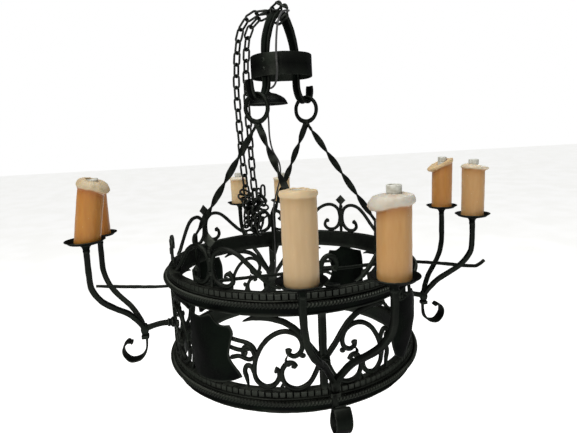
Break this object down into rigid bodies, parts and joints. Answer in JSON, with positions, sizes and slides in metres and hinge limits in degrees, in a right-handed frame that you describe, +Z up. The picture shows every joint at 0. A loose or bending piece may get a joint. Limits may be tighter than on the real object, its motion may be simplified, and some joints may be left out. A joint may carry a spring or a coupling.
{
  "type": "hanging candle-ring chandelier",
  "caption": "Wrought-iron ring chandelier with forked arms carrying wax-look candle sleeves, hung by twisted bars from a hooked bail.",
  "frame": {"origin": "inner apex of the bail, where the suspension holds the fitting", "axes": "+Z up along the middle axis of the rings; -Y toward the front double arm, +X toward the right double arm"},
  "size_m": [1.1534, 1.0894, 0.9134],
  "materials": {
    "wrought_iron": "hammered iron, black-green lacquer worn to bare metal on the high edges",
    "wax_sleeve": "translucent honey-coloured wax-look resin with dripped edges",
    "lamp_holder": "plain light-grey moulded lamp holder",
    "cable_sheath": "thin black flex"
  },
  "bodies": {
    "hanger": {"bail": "wrought_iron", "crown_band": "wrought_iron", "canopy": "wrought_iron", "chain": "wrought_iron", "wire": "cable_sheath"},
    "ring": {"upper_band": "wrought_iron", "upper_rope": "wrought_iron", "lower_band": "wrought_iron", "lower_rope": "wrought_iron", "eye_left": "wrought_iron", "eye_right": "wrought_iron", "cross_rod": "wrought_iron", "fretwork_front": "wrought_iron", "fretwork_right": "wrought_iron", "fretwork_back": "wrought_iron", "fretwork_left": "wrought_iron", "arm_crest_front": "wrought_iron", "arm_crest_right": "wrought_iron", "arm_crest_back": "wrought_iron", "arm_crest_left": "wrought_iron", "shield_front": "wrought_iron", "shield_right": "wrought_iron", "shield_back": "wrought_iron", "shield_left": "wrought_iron", "crest_front": "wrought_iron", "crest_right": "wrought_iron", "crest_back": "wrought_iron", "crest_left": "wrought_iron", "arm_front": "wrought_iron", "arm_right": "wrought_iron", "arm_back": "wrought_iron", "arm_left": "wrought_iron", "twisted_bar_front": "wrought_iron", "twisted_bar_right": "wrought_iron", "twisted_bar_back": "wrought_iron", "twisted_bar_left": "wrought_iron", "pan_front_left": "wrought_iron", "holder_front_left": "lamp_holder", "pan_front_right": "wrought_iron", "holder_front_right": "lamp_holder", "pan_right_front": "wrought_iron", "holder_right_front": "lamp_holder", "pan_right_back": "wrought_iron", "holder_right_back": "lamp_holder", "pan_back_right": "wrought_iron", "holder_back_right": "lamp_holder", "pan_back_left": "wrought_iron", "holder_back_left": "lamp_holder", "pan_left_back": "wrought_iron", "holder_left_back": "lamp_holder", "pan_left_front": "wrought_iron", "holder_left_front": "lamp_holder"},
    "candle_front_left": {"sleeve_front_left": "wax_sleeve"},
    "candle_front_right": {"sleeve_front_right": "wax_sleeve"},
    "candle_right_front": {"sleeve_right_front": "wax_sleeve"},
    "candle_right_back": {"sleeve_right_back": "wax_sleeve"},
    "candle_back_right": {"sleeve_back_right": "wax_sleeve"},
    "candle_back_left": {"sleeve_back_left": "wax_sleeve"},
    "candle_left_back": {"sleeve_left_back": "wax_sleeve"},
    "candle_left_front": {"sleeve_left_front": "wax_sleeve"}
  },
  "joints": [
    {"name": "ring_swing", "type": "hinge", "parent": "hanger", "child": "ring", "pos_m": [0, 0, -0.2065], "axis": [-0.7071, -0.7071, 0], "range_deg": [-6, 6], "deforming": ["wire"]},
    {"name": "lift_front_left", "type": "slide", "parent": "ring", "child": "candle_front_left", "axis": [0, 0, 1], "range_m": [0, 0.172]},
    {"name": "lift_front_right", "type": "slide", "parent": "ring", "child": "candle_front_right", "axis": [0, 0, 1], "range_m": [0, 0.164]},
    {"name": "lift_right_front", "type": "slide", "parent": "ring", "child": "candle_right_front", "axis": [0, 0, 1], "range_m": [0, 0.156]},
    {"name": "lift_right_back", "type": "slide", "parent": "ring", "child": "candle_right_back", "axis": [0, 0, 1], "range_m": [0, 0.156]},
    {"name": "lift_back_right", "type": "slide", "parent": "ring", "child": "candle_back_right", "axis": [0, 0, 1], "range_m": [0, 0.11]},
    {"name": "lift_back_left", "type": "slide", "parent": "ring", "child": "candle_back_left", "axis": [0, 0, 1], "range_m": [0, 0.116]},
    {"name": "lift_left_back", "type": "slide", "parent": "ring", "child": "candle_left_back", "axis": [0, 0, 1], "range_m": [0, 0.154]},
    {"name": "lift_left_front", "type": "slide", "parent": "ring", "child": "candle_left_front", "axis": [0.1829, -0.0372, 0.9824], "range_m": [0, 0.16]}
  ]
}
